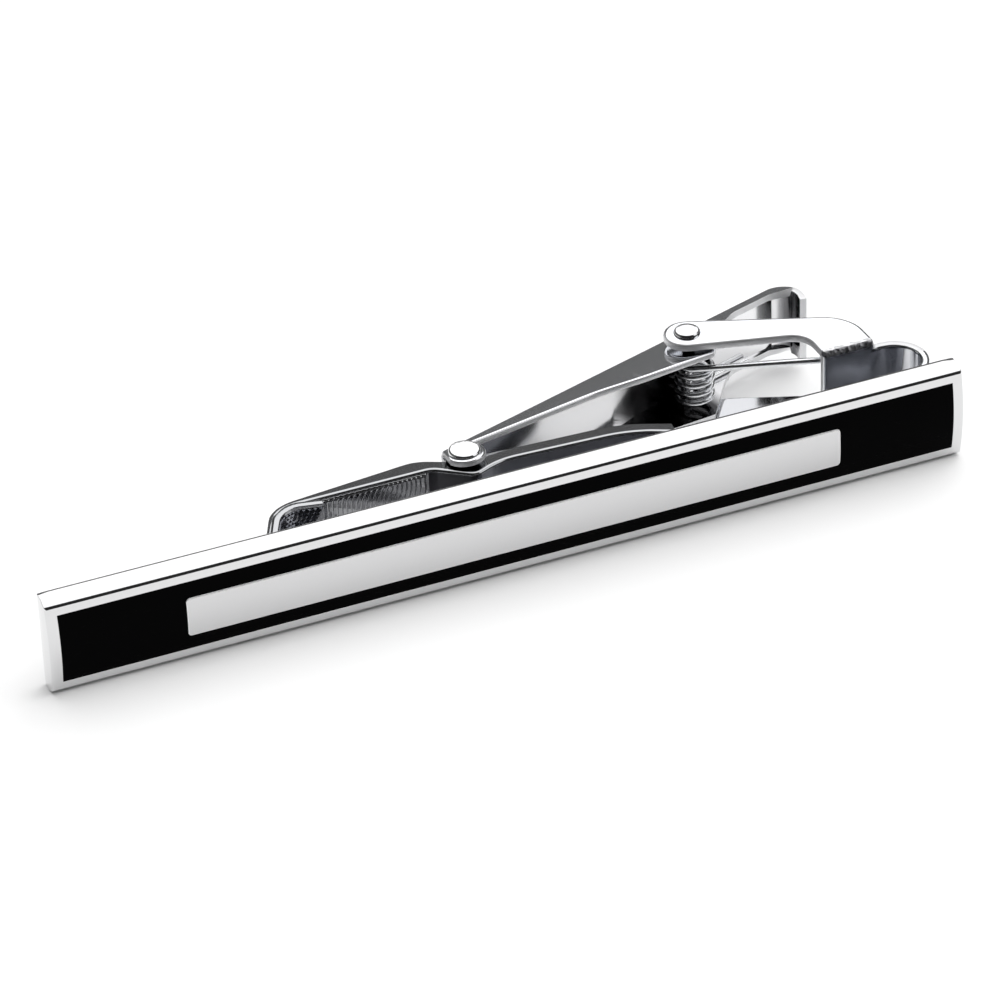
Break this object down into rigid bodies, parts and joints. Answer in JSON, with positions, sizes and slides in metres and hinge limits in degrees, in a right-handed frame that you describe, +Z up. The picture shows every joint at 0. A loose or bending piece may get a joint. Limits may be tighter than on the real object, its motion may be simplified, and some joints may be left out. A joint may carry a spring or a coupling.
{
  "type": "tie clip",
  "caption": "Domed bar with a black enamel face and a satin centre plate, and behind it a sprung, riveted pinch clasp whose toothed jaw grips a necktie.",
  "frame": {"origin": "middle of the flat land on the bar's lower long edge, on which the clip stands in the picture", "axes": "+X along the bar towards the clasp's fixed end, -Y out of the enamelled front, +Z up from the lower edge"},
  "size_m": [0.06, 0.0158, 0.0068],
  "materials": {
    "plated_bar": "bright polished plating",
    "black_enamel": "flat black gloss enamel",
    "satin_plate": "fine satin with polished bevelled edges",
    "plated_clasp": "bright plating over stamped sheet",
    "plated_jaw": "bright plating over embossed sheet",
    "plated_rivet": "polished domed heads",
    "spring_wire": "bright drawn wire",
    "solder": "dull silver"
  },
  "bodies": {
    "bar": {"front_bar": "plated_bar", "enamel_inlay": "black_enamel", "centre_plate": "satin_plate", "base_bracket": "plated_clasp", "solder_joint": "solder", "lever_rivet": "plated_rivet", "torsion_spring": "spring_wire"},
    "lever": {"lever": "plated_clasp", "jaw_rivet": "plated_rivet"},
    "jaw": {"jaw": "plated_jaw"}
  },
  "joints": [
    {"name": "lever_hinge", "type": "hinge", "parent": "bar", "child": "lever", "pos_m": [0.0165, 0.01032, 0.00325], "axis": [0, 0, -1], "range_deg": [0, 22], "stiffness_Nm_per_rad": 0.12, "springref_deg": -40.11, "deforming": ["torsion_spring"]},
    {"name": "jaw_pivot", "type": "hinge", "parent": "lever", "child": "jaw", "pos_m": [-0.00097, 0.00487, 0.00325], "axis": [0, 0, -1], "range_deg": [0, 6]}
  ]
}
